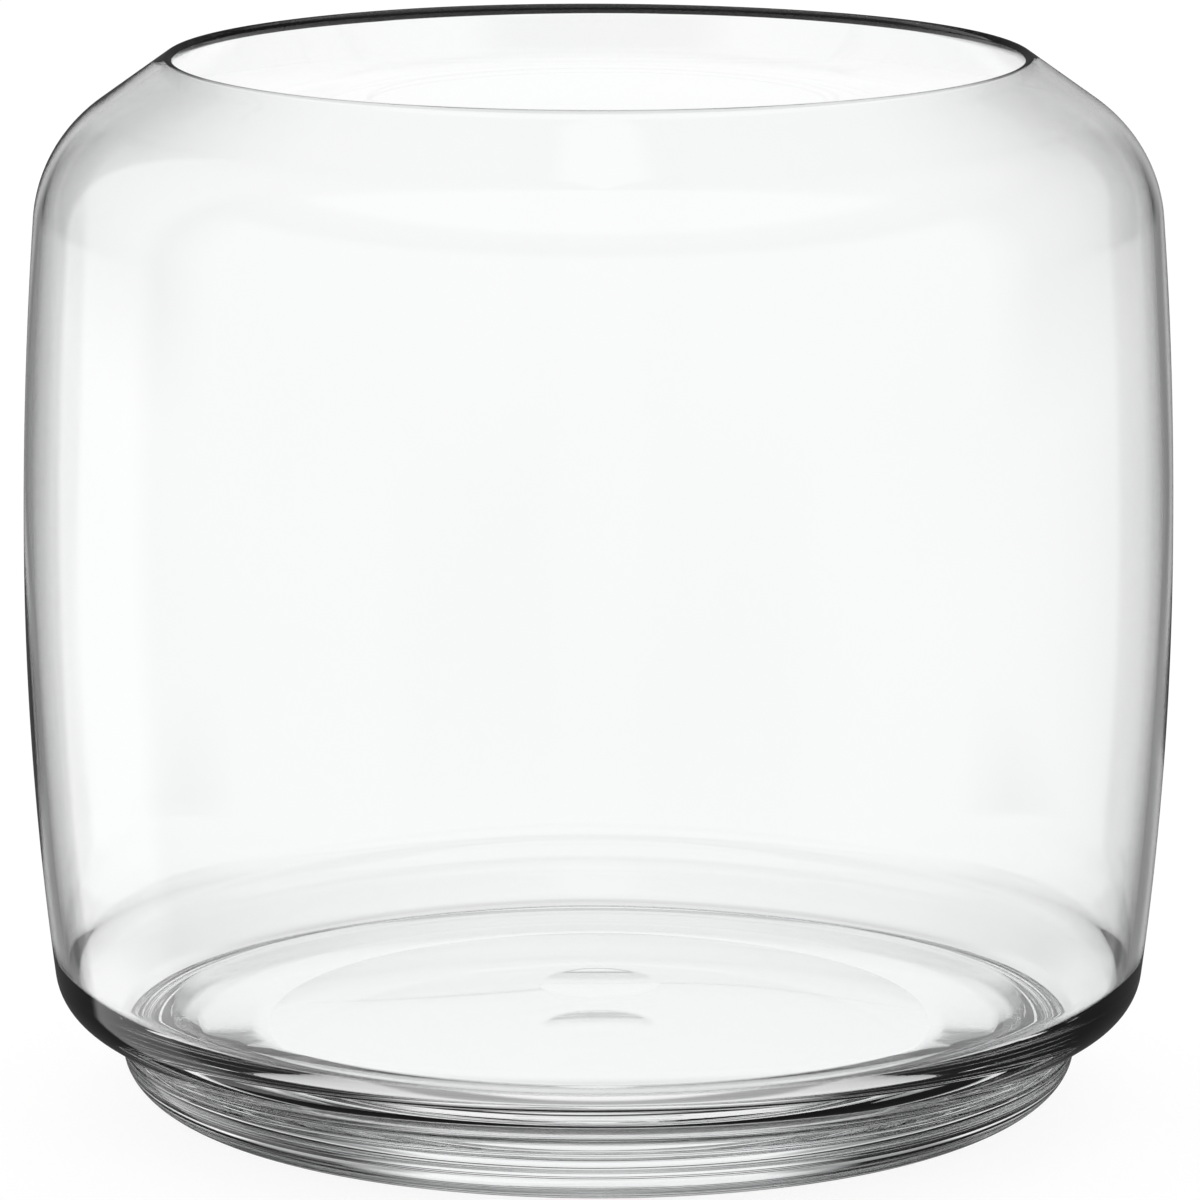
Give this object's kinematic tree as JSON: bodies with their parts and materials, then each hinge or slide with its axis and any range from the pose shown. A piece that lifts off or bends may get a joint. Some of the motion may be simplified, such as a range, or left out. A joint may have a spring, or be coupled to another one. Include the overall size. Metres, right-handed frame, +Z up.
{
  "type": "glass cylinder vase",
  "caption": "Clear blown-glass cylinder vase with bowed sides, rounded shoulders, a wide mouth with a half-round lip, and a solid stepped foot.",
  "frame": {"origin": "centre of the plane that the foot's resting ring lies on, on the vase's axis", "axes": "+Z up along the vase's axis, out of the mouth; the vase is turned, so +X and +Y are free"},
  "size_m": [0.2, 0.2, 0.1846],
  "materials": {
    "vessel_glass": "clear blown soda-lime glass, fire-polished",
    "foot_glass": "clear solid soda-lime glass, fire-polished"
  },
  "bodies": {
    "root": {"vessel": "vessel_glass", "foot": "foot_glass"}
  },
  "joints": []
}
